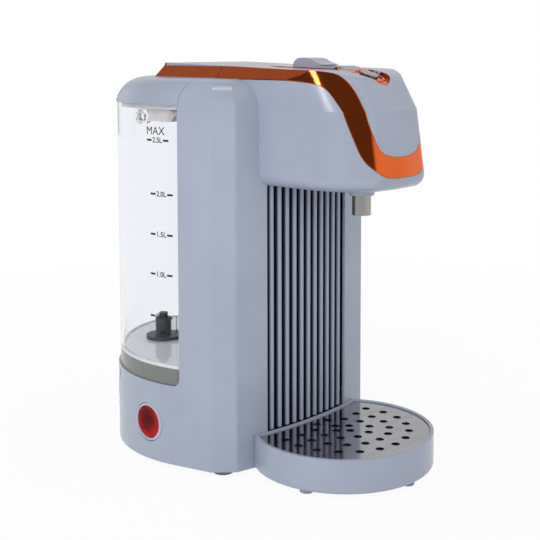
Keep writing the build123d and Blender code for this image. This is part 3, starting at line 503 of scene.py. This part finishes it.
def makeCollar():
    s = collar
    bm = bmesh.new()
    rings = []
    for i in range(s["steps"]):
        turn = 2 * math.pi * i / s["steps"]
        rings.append([addVert(bm, r * math.sin(turn), s["centreY"] + r * math.cos(turn), z)
                      for r, z in s["profile"]])
    joinRings(bm, rings, closed=True)
    ring = finishPiece(meshPiece("spoutCollarRing", bm), greyAbs, "housing")
    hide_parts("spout_collar")


makeCollar()

# Return spring of the lever: a wire coil
leverCoil = dict(centreY=-59.0, low=282.0, high=296.3, coilR=2.5, wireR=0.45, turns=7, perTurn=24, sides=8,
                 pressed=0.86)


def makeCoil():
    s = leverCoil
    bm = bmesh.new()
    rings = []
    steps = s["turns"] * s["perTurn"]
    for i in range(steps + 1):
        turn = 2 * math.pi * i / s["perTurn"]
        rise = s["low"] + s["wireR"] + (s["high"] - s["low"] - 2 * s["wireR"]) * i / steps
        ring = []
        for k in range(s["sides"]):
            around = 2 * math.pi * k / s["sides"]
            r = s["coilR"] + s["wireR"] * math.cos(around)
            z = rise + s["wireR"] * math.sin(around)
            ring.append(addVert(bm, r * math.cos(turn), s["centreY"] + r * math.sin(turn), z))
        rings.append(ring)
    joinRings(bm, rings)
    coil = finishPiece(meshPiece("leverCoil", bm), satinSteel, "housing")
    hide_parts("lever_spring")
    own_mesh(coil)


makeCoil()

# Shadow line in the joint between the tower's skirt and the rear panel, as (y, z) on the round wall
seamLine = dict(top=(88.0, 63.2), low=(115.0, 3.0), start=60.0, end=3.6, steps=32, wide=1.3, proud=0.04,
                axisY=41.5, wallR=97.0)


def makeSeam(name, side):
    s = seamLine
    bm = bmesh.new()
    slope = (s["low"][0] - s["top"][0]) / (s["top"][1] - s["low"][1])
    pairs = []
    for i in range(s["steps"] + 1):
        z = s["start"] + (s["end"] - s["start"]) * i / s["steps"]
        pair = []
        for shift in (-s["wide"] / 2, s["wide"] / 2):
            y = s["top"][0] + slope * (s["top"][1] - z) + shift
            x = math.sqrt((s["wallR"] + s["proud"]) ** 2 - (y - s["axisY"]) ** 2)
            pair.append(addVert(bm, side * x, y, z))
        pairs.append(pair)
    for near, after in zip(pairs, pairs[1:]):
        bm.faces.new((near[0], near[1], after[1], after[0]))
    finishPiece(meshPiece(name, bm), seamDark, "housing")


makeSeam("rearJointLeft", -1)
makeSeam("rearJointRight", 1)
print("lip, collar, lever spring and joint lines added")


# Studio, in metres: pale floor, soft boxes, and a dim room with bright walls that only mirror rays see
studio = dict(floorHalf=3.0, floorStops=[(0.3, "F2F2F3"), (0.7, "F4F4F5")], floorGrainMm=40, floorRough=0.9,
              shadowStart=0.2, shadowEnd=0.9, nearShare=0.93, worldLight=0.54, boxTall=1.3, dim=0.13)
# name, place, aim, width, watts and the rays that see it
softBoxes = [
    ("keyLeft", (-1.58, -0.70, 1.0), (0, 0, 0.16), 1.2, 16.5, "diffuse"),
    ("fillRight", (1.3, -1.3, 0.9), (0, 0, 0.16), 1.0, 1.5, "diffuse"),
    ("topBack", (0.2, 0.9, 1.8), (0, 0, 0.2), 1.0, 4, "diffuse"),
    ("glint", (-1.84, -0.5, 1.6), (0, 0, 0.28), 0.44, 13, "glossy"),
    ("overhead", (-0.1, 0.05, 2.3), (0, 0, 0.28), 0.40, 4, "glossy"),
]
# direction, cosine where the wall starts, cosine where it is full, and its brightness
brightWalls = [
    ((0.74, -0.62, 0.22), 0.35, 0.75, 1.0),
    ((0.0, 0.99, 0.12), 0.88, 0.97, 0.9),
    ((-0.17, 0.70, 0.69), 0.80, 0.97, 0.40),
    ((0.77, 0.55, 0.33), 0.70, 0.96, 0.72),
]


def makeFloor():
    s = studio
    bm = bmesh.new()
    bmesh.ops.create_grid(bm, x_segments=2, y_segments=2, size=s["floorHalf"])
    floor = meshPiece("studioFloor", bm)
    mat, shader, coords = newFinish("paleFloor")
    grain = addNode(mat, "ShaderNodeTexNoise", [(coords, "Object", "Vector")],
                    in_Scale=grainScale(s["floorGrainMm"]))
    colourGrain(mat, shader, grain, s["floorStops"])
    shader.inputs["Roughness"].default_value = s["floorRough"]
    shader.inputs["Specular IOR Level"].default_value = 0.0
    rays = addNode(mat, "ShaderNodeLightPath")
    white = addNode(mat, "ShaderNodeEmission", in_Strength=1.0)
    seen = addNode(mat, "ShaderNodeMath", [(rays, "Is Camera Ray", 0), (rays, "Is Glossy Ray", 1)],
                   operation="MAXIMUM")
    seen = addNode(mat, "ShaderNodeMath", [(seen, "Value", 0), (rays, "Is Transmission Ray", 1)],
                   operation="MAXIMUM")
    reach = addNode(mat, "ShaderNodeVectorMath", [(coords, "Object", 0)], operation="LENGTH")
    fade = addNode(mat, "ShaderNodeMapRange", [(reach, "Value", "Value")], in_From_Min=s["shadowStart"],
                   in_From_Max=s["shadowEnd"], in_To_Min=s["nearShare"], in_To_Max=1.0)
    part = addNode(mat, "ShaderNodeMath", [(seen, "Value", 0), (fade, "Result", 1)], operation="MULTIPLY")
    both = addNode(mat, "ShaderNodeMixShader",
                   [(part, "Value", 0), (shader, "BSDF", 1), (white, "Emission", 2)])
    wire(mat, both, "Shader", mat.node_tree.nodes["Material Output"], "Surface")
    paint(floor, mat)


def makeWorld():
    world = bpy.data.worlds.new("studioWhite")
    bpy.context.scene.world = world
    world.use_nodes = True
    sky = world.node_tree.nodes["Background"]
    rays = addNode(world, "ShaderNodeLightPath")
    coords = addNode(world, "ShaderNodeTexCoord")
    room = None
    for aim, start, full, white in brightWalls:
        facing = addNode(world, "ShaderNodeVectorMath", [(coords, "Generated", 0)],
                         operation="DOT_PRODUCT", in_1=aim)
        wall = addNode(world, "ShaderNodeMapRange", [(facing, "Value", "Value")],
                       interpolation_type="SMOOTHSTEP", in_From_Min=start, in_From_Max=full,
                       in_To_Min=studio["dim"], in_To_Max=white)
        room = wall if room is None else addNode(
            world, "ShaderNodeMath", [(room, 0, 0), (wall, 0, 1)], operation="MAXIMUM")
    seen = addNode(world, "ShaderNodeMath", [(rays, "Is Camera Ray", 0), (rays, "Is Transmission Ray", 1)],
                   operation="MAXIMUM")
    plain = addNode(world, "ShaderNodeMapRange", [(seen, "Value", "Value")],
                    in_To_Min=studio["worldLight"], in_To_Max=1.0)
    # rays through clear plastic count as glossy too, so they are taken out of the mirrored ones
    mirrored = addNode(world, "ShaderNodeMath",
                       [(rays, "Is Glossy Ray", 0), (rays, "Is Transmission Ray", 1)],
                       operation="SUBTRACT", use_clamp=True)
    level = addNode(world, "ShaderNodeMix",
                    [(mirrored, "Value", 0), (plain, "Result", 2), (room, "Value", 3)])
    sky.inputs["Color"].default_value = (1, 1, 1, 1)
    wire(world, level, "Result", sky, "Strength")


def makeLights():
    for name, place, aim, size, watts, kind in softBoxes:
        light = bpy.data.lights.new(name, "AREA")
        light.shape = "RECTANGLE"
        light.size = size
        light.size_y = size * studio["boxTall"]
        light.energy = watts
        lamp = bpy.data.objects.new(name, light)
        bpy.context.collection.objects.link(lamp)
        lamp.location = place
        lamp.rotation_euler = (Vector(aim) - Vector(place)).to_track_quat("-Z", "Y").to_euler()
        lamp.visible_diffuse = kind == "diffuse"
        lamp.visible_glossy = kind == "glossy"


makeFloor()
makeWorld()
makeLights()

# Camera at the photograph's place, solved from its straight edges; the lens is shifted as its frame is
view = dict(place=(-629.7, -592.1, 315.2), yaw=47.88, pitch=5.0, focalPx=1107.7, centre=(296.4, 143.5),
            frame=540, sensorMm=36.0, clipStart=0.01)


def makeCamera():
    s = view
    cam = bpy.data.cameras.new("photoCamera")
    eye = bpy.data.objects.new("photoCamera", cam)
    bpy.context.collection.objects.link(eye)
    eye.location = Vector(s["place"]) * mm
    eye.rotation_euler = (math.radians(90 - s["pitch"]), 0, -math.radians(s["yaw"]))
    cam.sensor_fit = "HORIZONTAL"
    cam.sensor_width = s["sensorMm"]
    cam.lens = s["sensorMm"] * s["focalPx"] / s["frame"]
    cam.shift_x = (s["frame"] / 2 - s["centre"][0]) / s["frame"]
    cam.shift_y = (s["centre"][1] - s["frame"] / 2) / s["frame"]
    cam.clip_start = s["clipStart"]
    bpy.context.scene.camera = eye


makeCamera()
bpy.context.scene.view_settings.view_transform = "Standard"
print("studio and camera set")
